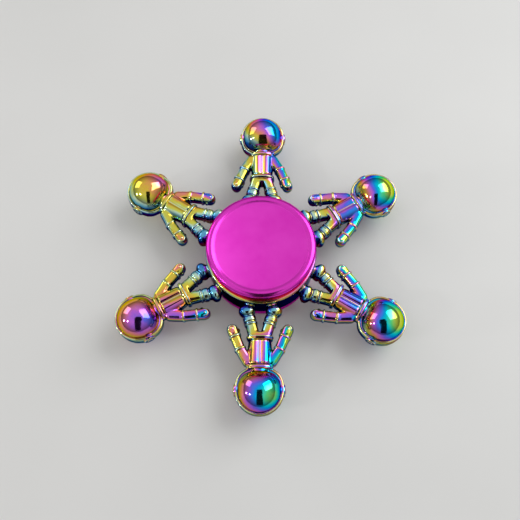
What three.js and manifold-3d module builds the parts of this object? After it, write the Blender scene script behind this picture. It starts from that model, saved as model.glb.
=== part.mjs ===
// Fidget spinner: six cast astronauts on a ring that turns on a 608 ball bearing between two finger caps.
// Millimetres, +Z up. The spin axis is Z, and the origin is at the bottom centre, on the plane that the
// lower cap's rim rests on. Every piece is drawn about the middle plane, and the whole is lifted at the end.

import * as THREE from 'three';
import { mergeVertices } from 'three/addons/utils/BufferGeometryUtils.js';
import Module from 'manifold-3d';

const wasm = await Module();
wasm.setup();

// ---------------------------------------------------------------- driving dimensions

// Whole object
const FIGURE_COUNT = 6;
const FIRST_FIGURE_ANGLE = Math.PI / 6;
const ACROSS_HEADS = 75; // outside of one helmet to the outside of the opposite one
const OVERALL_THICKNESS = 13.8; // over the rims of the two finger caps

// Fits
const SEAT_GAP = 0.02; // left between faces that are pressed, clamped or cast together
const THREAD_CLEARANCE = 0.1; // radial, between the stud and its hole

// Bearing
const BEARING_OUTER_DIAMETER = 22;
const BEARING_BORE = 8;
const BEARING_WIDTH = 7;
const RACE_CHAMFER = 0.3;
const BALL_COUNT = 7;
const BALL_DIAMETER = 3.969;
const BALL_PLAY = 0.06; // between a ball and the bottom of each groove
const GROOVE_OPENNESS = 1.06; // groove radius over ball radius
const GROOVE_DEPTH = 0.75;
const CAGE_SHEET = 0.35;
const CAGE_PLAY = 0.16; // between a ball and its pocket
const CAGE_CLEARANCE = 0.45; // between the cage band and the race lands
const RIVET_SHANK_RADIUS = 0.35;
const RIVET_HEAD_HEIGHT = 0.25;
const RIVET_HEAD_SHARE = 0.42; // head radius over the flat web between two pockets
const SHIELD_SHEET = 0.25;
const SHIELD_RECESS = 0.15; // shield face below the race face
const SHIELD_SEAT = 0.9; // width of the step that a shield rests on
const SHIELD_CLEARANCE = 0.3; // between a shield and the inner race

// Finger caps
const CAP_DIAMETER = 25.4;
const CAP_LIFT = 0.4; // height of the shoulder that holds a cap clear of the hub ring
const CAP_SHOULDER_DIAMETER = 11;
const CAP_UNDERCUT = 0.55; // how far the underside's edge is inside the cap's widest line
const CAP_EDGE_CHAMFER = 0.3;
const CAP_ROUND = 0.95; // outer round of the rim
const RIM_FLAT = 0.8; // flat crest of the rim
const RIM_INNER_SLOPE = 0.25;
const RIM_INNER_DROP = 0.26;
const DISH_DEPTH = 0.75; // below the rim's inner edge
const POST_END_GAP = 0.2; // between the ends of the two posts
const POST_CHAMFER = 0.2;
const STUD_DIAMETER = 5;
const STUD_REACH = 3.1; // below the middle plane
const STUD_HOLE_DEPTH = 3.8; // below the middle plane

// Hub ring
const HUB_WALL = 2;
const HUB_CHAMFER = 0.5;
const PAD_ROOT = 0.3; // how far a boot pad's outer corner is sunk in the ring
const PAD_MARGIN = 0.1; // pad face past the boot on each side

// Astronaut: widths and thicknesses
const HELMET_DIAMETER = 11;
const HELMET_SINK = 0.8; // how far the helmet overlaps the collar
const HELMET_BAND = 0.6; // half height of the helmet's upright middle
const HELMET_RIM_HEIGHT = 1.25; // of the visor opening above the middle plane
const HELMET_BEAD_RADIUS = 0.3;
const HELMET_BEAD_INSET = 0.4; // bead centre inside the helmet's radius
const VISOR_RADIUS = 4.85;
const VISOR_RISE = 5.3; // visor crown above the middle plane
const VISOR_SHIFT = 0.3; // visor centre outwards from the helmet's
const EAR_RADIUS = 1.3;
const EAR_PROUD = 0.2;
const COLLAR_RADIUS = 2.3;
const TORSO_SHOULDER_HALF_WIDTH = 2.9;
const TORSO_WAIST_HALF_WIDTH = 2.5;
const TORSO_HALF_THICKNESS = 1.85;
const BELT_HALF_WIDTH = 2.9;
const BELT_HALF_THICKNESS = 2.25;
const HIP_HALF_WIDTH = 2.5;
const HIP_HALF_THICKNESS = 1.7;
const LEG_RADIUS = 1;
const LEG_CUFF_RADIUS = 1.4;
const HIP_SPREAD = 1.35; // of each leg's top from the figure's middle
const BOOT_SPREAD = 3.15;
const BOOT_HALF_WIDTH = 1.8;
const BOOT_HALF_THICKNESS = 2.1;
const BOOT_HALF_LENGTH = 1.7;
const ARM_RADIUS = 0.95;
const ARM_CUFF_RADIUS = 1.2;
const SHOULDER_SPREAD = 2.9;
const ELBOW_SPREAD = 4.4;
const GLOVE_SPREAD = 6.15;
const GLOVE_RADIUS = 1.15;
const CUFF_LENGTH = 0.5;
const LIMB_DEPTH = 1.65; // how much thicker a limb is front to back than across

// Astronaut: places along the body, from the soles at 0 to the neck at 1
const BODY = {
  bootCentre: 0.08,
  calfCuff: 0.25,
  gloveCentre: 0.38,
  wristCuff: 0.45,
  hipLow: 0.415,
  legTop: 0.46,
  beltLow: 0.49,
  beltHigh: 0.55,
  elbow: 0.7,
  shoulder: 0.87,
  torsoTop: 0.93,
};

// Fineness of the turned and round shapes
const TURNED_SEGMENTS = 32;
const CAGE_SEGMENTS = 28;
const POCKET_SEGMENTS = 12;
const HELMET_SEGMENTS = 16;
const VISOR_STEPS = 4; // from the visor's foot to its crown
const TORSO_SEGMENTS = 8;
const BOOT_SEGMENTS = 8;
const LIMB_SEGMENTS = 6;
const RIVET_SEGMENTS = 8;

// ---------------------------------------------------------------- sizes that follow

const bearingRadius = BEARING_OUTER_DIAMETER / 2;
const boreRadius = BEARING_BORE / 2;
const halfWidth = BEARING_WIDTH / 2;
const halfThickness = OVERALL_THICKNESS / 2;
const pitchRadius = (bearingRadius + boreRadius) / 2;
const ballRadius = BALL_DIAMETER / 2;
const grooveRadius = ballRadius * GROOVE_OPENNESS;
const innerGrooveRadius = pitchRadius - ballRadius - BALL_PLAY;
const outerGrooveRadius = pitchRadius + ballRadius + BALL_PLAY;
const innerLandRadius = innerGrooveRadius + GROOVE_DEPTH;
const outerLandRadius = outerGrooveRadius - GROOVE_DEPTH;
const shieldSeatRadius = outerLandRadius + SHIELD_SEAT;
const shieldTop = halfWidth - SHIELD_RECESS;
const shieldBottom = shieldTop - SHIELD_SHEET;
const hubInnerRadius = bearingRadius + SEAT_GAP;
const hubOuterRadius = hubInnerRadius + HUB_WALL;
const helmetRadius = HELMET_DIAMETER / 2;
const helmetCentre = ACROSS_HEADS / 2 - helmetRadius;
const soles = hubOuterRadius + SEAT_GAP;
const neck = helmetCentre - helmetRadius + HELMET_SINK;

/** Distance from the spin axis of a place along an astronaut's body. */
const along = (share) => soles + share * (neck - soles);

// ---------------------------------------------------------------- helpers

/** Points on an arc from angle a to angle b (radians), both ends included. */
function arc(x, y, radius, a, b, steps) {
  const points = [];
  for (let i = 0; i <= steps; i++) {
    const angle = a + ((b - a) * i) / steps;
    points.push([x + radius * Math.cos(angle), y + radius * Math.sin(angle)]);
  }
  return points;
}

/** A solid of revolution about Z. The profile's points are [radius, height], going up its outside. */
function turned(profile, segments = TURNED_SEGMENTS) {
  const points = profile.map(([radius, height]) => new THREE.Vector2(Math.max(radius, 0), height));
  const geometry = new THREE.LatheGeometry(points, segments);
  return geometry.rotateX(Math.PI / 2);
}

/** A ring of revolution: the profile is closed on itself. */
const turnedRing = (profile, segments) => turned([...profile, profile[0]], segments);

/** The same profile with its mirror image about the middle plane below it, going up. */
function mirroredProfile(upperHalf) {
  const lowerHalf = upperHalf.map(([radius, height]) => [radius, -height]).reverse();
  return [...lowerHalf, ...upperHalf];
}

/** The geometry with shared corners merged and no collapsed triangles, ready to join or cut. */
function welded(geometry) {
  const bare = geometry.clone();
  bare.deleteAttribute('normal');
  bare.deleteAttribute('uv');
  const merged = mergeVertices(bare, 1e-5);
  const corners = merged.index.array;
  const kept = [];
  for (let i = 0; i < corners.length; i += 3) {
    const [a, b, c] = corners.slice(i, i + 3);
    if (a !== b && b !== c && c !== a) kept.push(a, b, c);
  }
  merged.setIndex(kept);
  return merged;
}

function solidOf(geometry) {
  const merged = welded(geometry);
  const vertProperties = merged.attributes.position.array;
  const triVerts = new Uint32Array(merged.index.array);
  return new wasm.Manifold(new wasm.Mesh({ numProp: 3, vertProperties, triVerts }));
}

function geometryOf(solid) {
  const mesh = solid.getMesh();
  const geometry = new THREE.BufferGeometry();
  geometry.setAttribute('position', new THREE.BufferAttribute(mesh.vertProperties, 3));
  geometry.setIndex([...mesh.triVerts]);
  geometry.computeVertexNormals();
  return geometry;
}

const joined = (geometries) => geometries.map(solidOf).reduce((whole, next) => whole.add(next));

/** A tapered round bar from one point to another. */
function bar(from, to, startRadius, endRadius = startRadius, segments = LIMB_SEGMENTS) {
  const start = new THREE.Vector3(...from);
  const way = new THREE.Vector3(...to).sub(start);
  const geometry = new THREE.CylinderGeometry(endRadius, startRadius, way.length(), segments);
  const turn = new THREE.Quaternion().setFromUnitVectors(new THREE.Vector3(0, 1, 0), way.clone().normalize());
  geometry.applyQuaternion(turn);
  return geometry.translate(...start.addScaledVector(way, 0.5));
}

/** A ball drawn out to three radii. */
function egg([x, y, z], [rx, ry, rz], segments = LIMB_SEGMENTS) {
  const geometry = new THREE.SphereGeometry(1, segments, Math.ceil(segments / 2));
  return geometry.scale(rx, ry, rz).translate(x, y, z);
}

/** An oval plug along X between two places, with its half widths at the start and the end. */
function ovalPlug(from, to, startHalfWidth, endHalfWidth, halfHeight) {
  const geometry = new THREE.CylinderGeometry(endHalfWidth, startHalfWidth, to - from, TORSO_SEGMENTS);
  geometry.rotateZ(-Math.PI / 2);
  geometry.scale(1, 1, (2 * halfHeight) / (startHalfWidth + endHalfWidth));
  return geometry.translate((from + to) / 2, 0, 0);
}

/** A short collar round a limb that runs from one point to another, centred where X is `at`. */
function cuff(from, to, at, radius) {
  const start = new THREE.Vector3(...from);
  const way = new THREE.Vector3(...to).sub(start);
  const middle = start.clone().addScaledVector(way, (at - from[0]) / way.x);
  const half = way.clone().setLength(CUFF_LENGTH / 2);
  return bar(middle.clone().sub(half).toArray(), middle.clone().add(half).toArray(), radius);
}

/** A limb's shape, drawn round in the middle plane, made thicker front to back. */
const deepened = (geometry) => geometry.scale(1, 1, LIMB_DEPTH);

// ---------------------------------------------------------------- bearing

/** The ball groove of a race, as profile points going up. */
function groove(facing, landRadius) {
  const bottomRadius = facing > 0 ? innerGrooveRadius : outerGrooveRadius;
  const centre = bottomRadius + facing * grooveRadius;
  const halfAngle = Math.acos(Math.abs(centre - landRadius) / grooveRadius);
  const points = arc(0, 0, grooveRadius, -halfAngle, halfAngle, 4);
  return points.map(([across, height]) => [centre - facing * across, height]);
}

function innerRace() {
  return turnedRing([
    [boreRadius, -halfWidth + RACE_CHAMFER],
    [boreRadius + RACE_CHAMFER, -halfWidth],
    [innerLandRadius, -halfWidth],
    ...groove(1, innerLandRadius),
    [innerLandRadius, halfWidth],
    [boreRadius + RACE_CHAMFER, halfWidth],
    [boreRadius, halfWidth - RACE_CHAMFER],
  ]);
}

function outerRace() {
  return turnedRing([
    [bearingRadius - RACE_CHAMFER, -halfWidth],
    [bearingRadius, -halfWidth + RACE_CHAMFER],
    [bearingRadius, halfWidth - RACE_CHAMFER],
    [bearingRadius - RACE_CHAMFER, halfWidth],
    [shieldSeatRadius, halfWidth],
    [shieldSeatRadius, shieldBottom - SEAT_GAP],
    [outerLandRadius, shieldBottom - SEAT_GAP],
    ...groove(-1, outerLandRadius).reverse(),
    [outerLandRadius, SEAT_GAP - shieldBottom],
    [shieldSeatRadius, SEAT_GAP - shieldBottom],
    [shieldSeatRadius, -halfWidth],
  ]);
}

function shield() {
  const innerRadius = innerLandRadius + SHIELD_CLEARANCE;
  const outerRadius = shieldSeatRadius - SEAT_GAP;
  return turnedRing([
    [outerRadius, shieldBottom],
    [outerRadius, shieldTop],
    [innerRadius, shieldTop],
    [innerRadius, shieldBottom],
  ]);
}

const pocketRadius = ballRadius + CAGE_PLAY;
const pocketOuterRadius = pocketRadius + CAGE_SHEET;
const cagePlateTop = SEAT_GAP / 2 + CAGE_SHEET;
const webWidth = 2 * pitchRadius * Math.sin(Math.PI / BALL_COUNT) - 2 * pocketOuterRadius;
const ballAngle = (index) => (2 * Math.PI * index) / BALL_COUNT;
const rivetAngle = (index) => ballAngle(index + 0.5);
const onPitch = (angle) => [pitchRadius * Math.cos(angle), pitchRadius * Math.sin(angle), 0];

/** A ring as wide as the cage, between two heights. */
function cageBand(bottom, top) {
  const innerRadius = innerLandRadius + CAGE_CLEARANCE;
  const outerRadius = outerLandRadius - CAGE_CLEARANCE;
  const outline = [[outerRadius, bottom], [outerRadius, top], [innerRadius, top], [innerRadius, bottom]];
  return turnedRing(outline, CAGE_SEGMENTS);
}

function rivetHole() {
  const radius = RIVET_SHANK_RADIUS + SEAT_GAP;
  return turned([[0, -1], [radius, -1], [radius, 1], [0, 1]], RIVET_SEGMENTS);
}

/** The upper half of the cage: a flat band that arches over each ball, with rivet holes between them. */
function cageHalf() {
  const across = 2 * (outerLandRadius - innerLandRadius);
  const pocket = (radius) => {
    const geometry = new THREE.CylinderGeometry(radius, radius, across, POCKET_SEGMENTS);
    return geometry.rotateZ(Math.PI / 2);
  };
  const placed = (geometry, angle) => solidOf(geometry.rotateZ(angle).translate(...onPitch(angle)));
  let arches = solidOf(cageBand(SEAT_GAP / 2, cagePlateTop));
  for (let i = 0; i < BALL_COUNT; i++) {
    arches = arches.add(placed(pocket(pocketOuterRadius), ballAngle(i)));
  }
  let half = arches.intersect(solidOf(cageBand(SEAT_GAP / 2, pocketOuterRadius + 1)));
  for (let i = 0; i < BALL_COUNT; i++) {
    half = half.subtract(placed(pocket(pocketRadius), ballAngle(i)));
    half = half.subtract(placed(rivetHole(), rivetAngle(i)));
  }
  return geometryOf(half);
}

function rivet() {
  const headRadius = RIVET_HEAD_SHARE * webWidth;
  const headFoot = cagePlateTop + SEAT_GAP;
  const upperHalf = [
    [RIVET_SHANK_RADIUS, headFoot],
    [headRadius, headFoot],
    [headRadius * 0.75, headFoot + RIVET_HEAD_HEIGHT * 0.8],
    [0, headFoot + RIVET_HEAD_HEIGHT],
  ];
  return turned(mirroredProfile(upperHalf), RIVET_SEGMENTS);
}

const ball = () => new THREE.IcosahedronGeometry(ballRadius, 2);

// ---------------------------------------------------------------- finger caps

const capRadius = CAP_DIAMETER / 2;
const capUnderside = halfWidth + CAP_LIFT;
const postRadius = boreRadius - SEAT_GAP;
const postEnd = POST_END_GAP / 2;
const rimCrestOuter = capRadius - CAP_ROUND;
const dishRadius = rimCrestOuter - RIM_FLAT - RIM_INNER_SLOPE;

/** Profile of a cap from its post outwards and over the rim to the middle of its dish. */
function capOutside() {
  const dishEdge = halfThickness - RIM_INNER_DROP;
  const dishCurve = (dishRadius ** 2 + DISH_DEPTH ** 2) / (2 * DISH_DEPTH);
  const dishCentre = dishEdge - DISH_DEPTH + dishCurve;
  const dishAngle = Math.asin(dishRadius / dishCurve);
  return [
    [postRadius - POST_CHAMFER, postEnd],
    [postRadius, postEnd + POST_CHAMFER],
    [postRadius, halfWidth + SEAT_GAP],
    [CAP_SHOULDER_DIAMETER / 2, halfWidth + SEAT_GAP],
    [CAP_SHOULDER_DIAMETER / 2, capUnderside],
    [capRadius - CAP_UNDERCUT, capUnderside],
    [capRadius - CAP_UNDERCUT + CAP_EDGE_CHAMFER, capUnderside + CAP_EDGE_CHAMFER],
    ...arc(rimCrestOuter, halfThickness - CAP_ROUND, CAP_ROUND, 0, Math.PI / 2, 4),
    [rimCrestOuter - RIM_FLAT, halfThickness],
    ...arc(0, dishCentre, dishCurve, dishAngle - Math.PI / 2, -Math.PI / 2, 3),
  ];
}

/** The cap with the stud, which passes through the bearing and into the other cap's post. */
function studCap() {
  const studRadius = STUD_DIAMETER / 2;
  return turned([
    [0, -STUD_REACH],
    [studRadius - POST_CHAMFER, -STUD_REACH],
    [studRadius, POST_CHAMFER - STUD_REACH],
    [studRadius, postEnd],
    ...capOutside(),
  ]);
}

/** The cap with the tapped post, drawn above the middle plane as the other one is. */
function tappedCap() {
  const holeRadius = STUD_DIAMETER / 2 + THREAD_CLEARANCE;
  const hole = [[0, STUD_HOLE_DEPTH], [holeRadius, STUD_HOLE_DEPTH], [holeRadius, postEnd]];
  return turned([...hole, ...capOutside()]);
}

// ---------------------------------------------------------------- hub ring

/** A flat seat on the ring for one boot. */
function bootPad(side) {
  const outerSide = BOOT_SPREAD + BOOT_HALF_WIDTH + PAD_MARGIN;
  const root = Math.sqrt((hubOuterRadius - PAD_ROOT) ** 2 - outerSide ** 2);
  const width = 2 * (BOOT_HALF_WIDTH + PAD_MARGIN);
  const height = 2 * (BOOT_HALF_THICKNESS + PAD_MARGIN);
  const geometry = new THREE.BoxGeometry(hubOuterRadius - root, width, height);
  return geometry.translate((hubOuterRadius + root) / 2, side * BOOT_SPREAD, 0);
}

const figureAngle = (index) => FIRST_FIGURE_ANGLE + (2 * Math.PI * index) / FIGURE_COUNT;

function hubRing() {
  const ring = turnedRing([
    [hubOuterRadius - HUB_CHAMFER, -halfWidth],
    [hubOuterRadius, -halfWidth + HUB_CHAMFER],
    [hubOuterRadius, halfWidth - HUB_CHAMFER],
    [hubOuterRadius - HUB_CHAMFER, halfWidth],
    [hubInnerRadius, halfWidth],
    [hubInnerRadius, -halfWidth],
  ]);
  const pads = [];
  for (let i = 0; i < FIGURE_COUNT; i++) {
    for (const side of [-1, 1]) pads.push(bootPad(side).rotateZ(figureAngle(i)));
  }
  return geometryOf(joined([ring, ...pads]));
}

// ---------------------------------------------------------------- astronaut, standing along +X

/** Helmet shell with a bead round each visor opening, the visor domes, and the ear discs. */
function helmet() {
  const beadRadius = helmetRadius - HELMET_BEAD_INSET;
  const shellAngle = Math.asin((HELMET_RIM_HEIGHT - HELMET_BEAD_RADIUS / 2) / helmetRadius);
  const shellHalf = [
    [helmetRadius, HELMET_BAND],
    [helmetRadius * Math.cos(shellAngle), helmetRadius * Math.sin(shellAngle)],
    ...arc(beadRadius, HELMET_RIM_HEIGHT, HELMET_BEAD_RADIUS, 0.3, Math.PI, 2),
    [0, HELMET_RIM_HEIGHT],
  ];
  const visorCentre = VISOR_RISE - VISOR_RADIUS;
  const visorAngle = Math.asin((HELMET_RIM_HEIGHT - visorCentre) / VISOR_RADIUS);
  const visorHalf = arc(0, visorCentre, VISOR_RADIUS, visorAngle, Math.PI / 2, VISOR_STEPS);
  const earReach = helmetRadius + EAR_PROUD;
  return [
    turned(mirroredProfile(shellHalf), HELMET_SEGMENTS).translate(helmetCentre, 0, 0),
    turned(mirroredProfile(visorHalf), HELMET_SEGMENTS).translate(helmetCentre + VISOR_SHIFT, 0, 0),
    bar([helmetCentre, -earReach, 0], [helmetCentre, earReach, 0], EAR_RADIUS),
  ];
}

/** Collar, torso with its padded columns on both faces, belt and hips. */
function trunk() {
  const waist = along(BODY.beltHigh);
  const top = along(BODY.torsoTop);
  const pieces = [
    ovalPlug(top, helmetCentre - helmetRadius / 2, COLLAR_RADIUS, COLLAR_RADIUS, TORSO_HALF_THICKNESS),
    ovalPlug(waist, top, TORSO_WAIST_HALF_WIDTH, TORSO_SHOULDER_HALF_WIDTH, TORSO_HALF_THICKNESS),
    ovalPlug(along(BODY.beltLow), waist, BELT_HALF_WIDTH, BELT_HALF_WIDTH, BELT_HALF_THICKNESS),
    ovalPlug(along(BODY.hipLow), waist, HIP_HALF_WIDTH, HIP_HALF_WIDTH, HIP_HALF_THICKNESS),
  ];
  return pieces;
}

/** One leg with its two cuffs and its boot. */
function leg(side) {
  const hip = [along(BODY.legTop), side * HIP_SPREAD, 0];
  const foot = [along(BODY.bootCentre), side * BOOT_SPREAD, 0];
  return [
    deepened(bar(hip, foot, LEG_RADIUS)),
    deepened(cuff(hip, foot, along(BODY.calfCuff), LEG_CUFF_RADIUS)),
    egg(foot, [BOOT_HALF_LENGTH, BOOT_HALF_WIDTH, BOOT_HALF_THICKNESS], BOOT_SEGMENTS),
  ];
}

/** One arm, hanging out from the shoulder, with its elbow and wrist cuffs and its glove. */
function arm(side) {
  const shoulder = [along(BODY.shoulder), side * SHOULDER_SPREAD, 0];
  const elbow = [along(BODY.elbow), side * ELBOW_SPREAD, 0];
  const hand = [along(BODY.gloveCentre), side * GLOVE_SPREAD, 0];
  return [
    deepened(bar(shoulder, elbow, ARM_RADIUS)),
    deepened(bar(elbow, hand, ARM_RADIUS)),
    deepened(cuff(elbow, hand, along(BODY.wristCuff), ARM_CUFF_RADIUS)),
    deepened(egg(hand, [GLOVE_RADIUS, GLOVE_RADIUS, GLOVE_RADIUS])),
  ];
}

/** The whole figure, cut flat at the soles where it meets its pads on the hub ring. */
function astronaut() {
  const figure = joined([...helmet(), ...trunk(), ...leg(-1), ...leg(1), ...arm(-1), ...arm(1)]);
  const wide = 4 * BOOT_SPREAD;
  const belowSoles = new THREE.BoxGeometry(wide, wide, wide).translate(soles - wide / 2, 0, 0);
  return geometryOf(figure.subtract(solidOf(belowSoles)));
}

// ---------------------------------------------------------------- materials

const metal = (color, roughness, metalness = 1) =>
  new THREE.MeshStandardMaterial({ color, roughness, metalness });

const anodisedMagenta = metal('#e32fc0', 0.3);
const oilSlickRing = metal('#5a6a9c', 0.1);
const oilSlickFigures = ['#4a9de0', '#a98ad6', '#c9b04a', '#8a6fd0', '#5f6ae0', '#2fc0c4'];
const raceSteel = metal('#b9bcc0', 0.15);
const ballSteel = metal('#d6d8dc', 0.05);
const cageSteel = metal('#9a9a96', 0.35);
const shieldSteel = metal('#a4a6a8', 0.3);

// ---------------------------------------------------------------- assembly

const spinner = new THREE.Group();
spinner.position.z = halfThickness;

function place(name, geometry, material, parent = spinner) {
  const mesh = new THREE.Mesh(geometry, material);
  mesh.name = name;
  parent.add(mesh);
  return mesh;
}

/** Turns a piece drawn above the middle plane over to its place below it. */
function placeBelow(name, geometry, material) {
  place(name, geometry, material).rotation.x = Math.PI;
}

place('upper_finger_cap', studCap(), anodisedMagenta);
placeBelow('lower_finger_cap', tappedCap(), anodisedMagenta);

place('bearing_inner_race', innerRace(), raceSteel);
place('bearing_outer_race', outerRace(), raceSteel);
place('upper_bearing_shield', shield(), shieldSteel);
placeBelow('lower_bearing_shield', shield(), shieldSteel);

const cageHalfGeometry = cageHalf();
place('cage_upper_half', cageHalfGeometry, cageSteel);
placeBelow('cage_lower_half', cageHalfGeometry, cageSteel);

const rivetGeometry = rivet();
const ballGeometry = ball();
for (let i = 0; i < BALL_COUNT; i++) {
  place(`bearing_ball_${i + 1}`, ballGeometry, ballSteel).position.set(...onPitch(ballAngle(i)));
  const pin = place(`cage_rivet_${i + 1}`, rivetGeometry, cageSteel);
  pin.position.set(...onPitch(rivetAngle(i)));
  pin.rotation.z = rivetAngle(i);
}

place('hub_ring', hubRing(), oilSlickRing);

const astronautGeometry = astronaut();
for (let i = 0; i < FIGURE_COUNT; i++) {
  const spoke = new THREE.Group();
  spoke.rotation.z = figureAngle(i);
  spinner.add(spoke);
  const colour = oilSlickFigures[i % oilSlickFigures.length];
  place(`astronaut_${i + 1}`, astronautGeometry, metal(colour, 0.1), spoke);
}

export default spinner;
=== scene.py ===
"""Looks of the astronaut fidget spinner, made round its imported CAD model.

The plated casting (hub ring and six astronauts) is sculpted as a distance field and meshed finely, the caps
and bearing rings are turned profiles, and the balls and rivets come from Geometry Nodes. Sculpting is done in
millimetres about the middle plane, and every mesh is stored in metres in the row frame.
"""

from __future__ import annotations

import logging
import math
from dataclasses import dataclass
from enum import Enum

import bpy
import numpy as np
from mathutils import Matrix, Vector

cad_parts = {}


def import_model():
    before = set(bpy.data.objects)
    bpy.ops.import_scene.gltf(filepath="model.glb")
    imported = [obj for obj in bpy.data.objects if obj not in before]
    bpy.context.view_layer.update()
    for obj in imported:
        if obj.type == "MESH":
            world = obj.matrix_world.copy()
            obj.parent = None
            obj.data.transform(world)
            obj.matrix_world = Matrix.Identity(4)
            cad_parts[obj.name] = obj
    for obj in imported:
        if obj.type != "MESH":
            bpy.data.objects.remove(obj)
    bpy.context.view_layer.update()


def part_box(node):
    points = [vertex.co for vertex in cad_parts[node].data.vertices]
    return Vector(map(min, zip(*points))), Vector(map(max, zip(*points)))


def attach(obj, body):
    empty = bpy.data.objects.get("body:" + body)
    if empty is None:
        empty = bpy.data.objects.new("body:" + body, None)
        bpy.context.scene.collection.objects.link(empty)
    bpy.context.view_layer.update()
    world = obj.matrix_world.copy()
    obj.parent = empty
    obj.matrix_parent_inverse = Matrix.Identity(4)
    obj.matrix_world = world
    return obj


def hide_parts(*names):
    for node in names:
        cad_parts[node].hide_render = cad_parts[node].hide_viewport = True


LOG = logging.getLogger("spinner")
MM = 0.001
Array = np.ndarray
Material = bpy.types.Material
Socket = bpy.types.NodeSocket
Colour = tuple[float, float, float]
Profile = list[tuple[float, float]]


class Slot(Enum):
    """The material slots of the record."""

    CAP = "magenta_anodised_aluminium"
    PLATING = "oil_slick_plated_zinc"
    RACE = "ground_bearing_steel"
    BALL = "polished_ball_steel"
    CAGE = "pressed_cage_steel"
    SHIELD = "shield_steel"


class Side(Enum):
    """Which face of the spinner a piece belongs to."""

    UPPER = 1
    LOWER = -1


# ---------------------------------------- mesh tools


def arc(x: float, y: float, radius: float, start: float, end: float, steps: int) -> Profile:
    """Points on a circular arc.

    Args:
        x, y: The arc's centre.
        radius: Its radius.
        start, end: Its first and last angle, in degrees.
        steps: How many pieces it is cut into.

    Returns:
        steps + 1 points, both ends included.
    """
    angles = np.radians(np.linspace(start, end, steps + 1))
    return [(x + radius * math.cos(a), y + radius * math.sin(a)) for a in angles]


def rounded(corners: Profile, radii: list[float], steps: int = 6) -> Profile:
    """Rounds the inner corners of an open outline.

    Args:
        corners: The outline's corners in order.
        radii: The round at each corner; 0 keeps it sharp. The first and last are not used.
        steps: How many pieces each round is cut into.

    Returns:
        The outline with each round in place of its corner.
    """
    points = [corners[0]]
    for before, corner, after, radius in zip(corners, corners[1:], corners[2:], radii[1:-1]):
        here = Vector(corner)
        back = (Vector(before) - here).normalized()
        ahead = (Vector(after) - here).normalized()
        half = back.angle(ahead) / 2
        if radius <= 0:
            points.append(corner)
            continue
        reach = radius / math.tan(half)
        centre = here + (back + ahead).normalized() * radius / math.sin(half)
        first = here + back * reach - centre
        last = here + ahead * reach - centre
        turn = first.angle_signed(last)
        for step in range(steps + 1):
            angle = -turn * step / steps
            cos, sin = math.cos(angle), math.sin(angle)
            x, y = first.x * cos - first.y * sin, first.x * sin + first.y * cos
            points.append((centre.x + x, centre.y + y))
    points.append(corners[-1])
    return points


@dataclass
class Surface:
    """A closed surface in millimetres, with a normal at each vertex."""

    vertices: Array
    faces: list
    normals: Array

    def moved(self, turn: Matrix, lift: float) -> "Surface":
        """The surface turned by a rotation matrix and then lifted, in millimetres.

        Args:
            turn: The rotation.
            lift: How far up it goes afterwards.

        Returns:
            The moved surface, with its normals turned too.
        """
        rotation = np.array(turn)[:3, :3]
        place = np.array([0.0, 0.0, lift])
        return Surface(self.vertices @ rotation.T + place, self.faces, self.normals @ rotation.T)


def turned(profile: Profile, segments: int, closed: bool) -> Surface:
    """A solid of revolution about Z.

    Args:
        profile: (radius, height) points, going up the outside.
        segments: How many steps the turn has.
        closed: True if the profile closes on itself, False if it starts and ends on the axis.

    Returns:
        The surface, its normals weighted by the length of the profile on each side.
    """
    points = np.array(profile, float)
    count = len(points)
    following = np.roll(points, -1, axis=0)
    along = following - points
    outward = np.stack([along[:, 1], -along[:, 0]], axis=1)
    if not closed:
        outward[-1] = 0
    flat = outward + np.roll(outward, 1, axis=0)
    flat /= np.maximum(np.linalg.norm(flat, axis=1, keepdims=True), 1e-12)
    angles = np.arange(segments) * 2 * math.pi / segments
    cos, sin = np.cos(angles)[:, None], np.sin(angles)[:, None]
    radius, height = points[:, 0], points[:, 1]
    vertices = np.stack([radius * cos, radius * sin, np.broadcast_to(height, (segments, count))], axis=2)
    upward = np.broadcast_to(flat[:, 1], (segments, count))
    normals = np.stack([flat[:, 0] * cos, flat[:, 0] * sin, upward], axis=2)
    faces = []
    spans = count if closed else count - 1
    for turn in range(segments):
        here, there = turn * count, (turn + 1) % segments * count
        for step in range(spans):
            low, high = step, (step + 1) % count
            ring = [here + low, there + low, there + high, here + high]
            if not closed and step == 0:
                ring = [low, there + high, here + high]
            elif not closed and step == spans - 1:
                ring = [here + low, there + low, high]
            faces.append(ring)
    vertices, normals = vertices.reshape(-1, 3), normals.reshape(-1, 3)
    if not closed:
        vertices, normals, faces = without_spare_poles(vertices, normals, faces)
    return Surface(vertices, faces, normals)


def without_spare_poles(vertices: Array, normals: Array, faces: list) -> tuple:
    """Drops the vertices that no face uses, which are the poles' copies, and renumbers the faces.

    Args:
        vertices, normals: One row for each vertex.
        faces: The faces, as lists of vertex numbers.

    Returns:
        The vertices, normals and faces that are left.
    """
    used = np.zeros(len(vertices), bool)
    for face in faces:
        used[face] = True
    number = np.cumsum(used) - 1
    return vertices[used], normals[used], [[int(number[v]) for v in face] for face in faces]


def in_scene(name: str, data: bpy.types.ID) -> bpy.types.Object:
    """Makes an object from its data and links it into the scene.

    Args:
        name: The object's name.
        data: Its mesh, light or camera.

    Returns:
        The new object.
    """
    thing = bpy.data.objects.new(name, data)
    bpy.context.scene.collection.objects.link(thing)
    return thing


def flat_sheet(name: str, width: float, height: float, material: Material) -> bpy.types.Object:
    """Makes a rectangle about the origin.

    Args:
        name: Its name.
        width, height: Its size, in metres.
        material: Its finish.

    Returns:
        The new object, in the scene.
    """
    x, y = width / 2, height / 2
    mesh = bpy.data.meshes.new(name)
    mesh.from_pydata([(-x, -y, 0), (x, -y, 0), (x, y, 0), (-x, y, 0)], [], [(0, 1, 2, 3)])
    mesh.materials.append(material)
    return in_scene(name, mesh)


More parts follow.
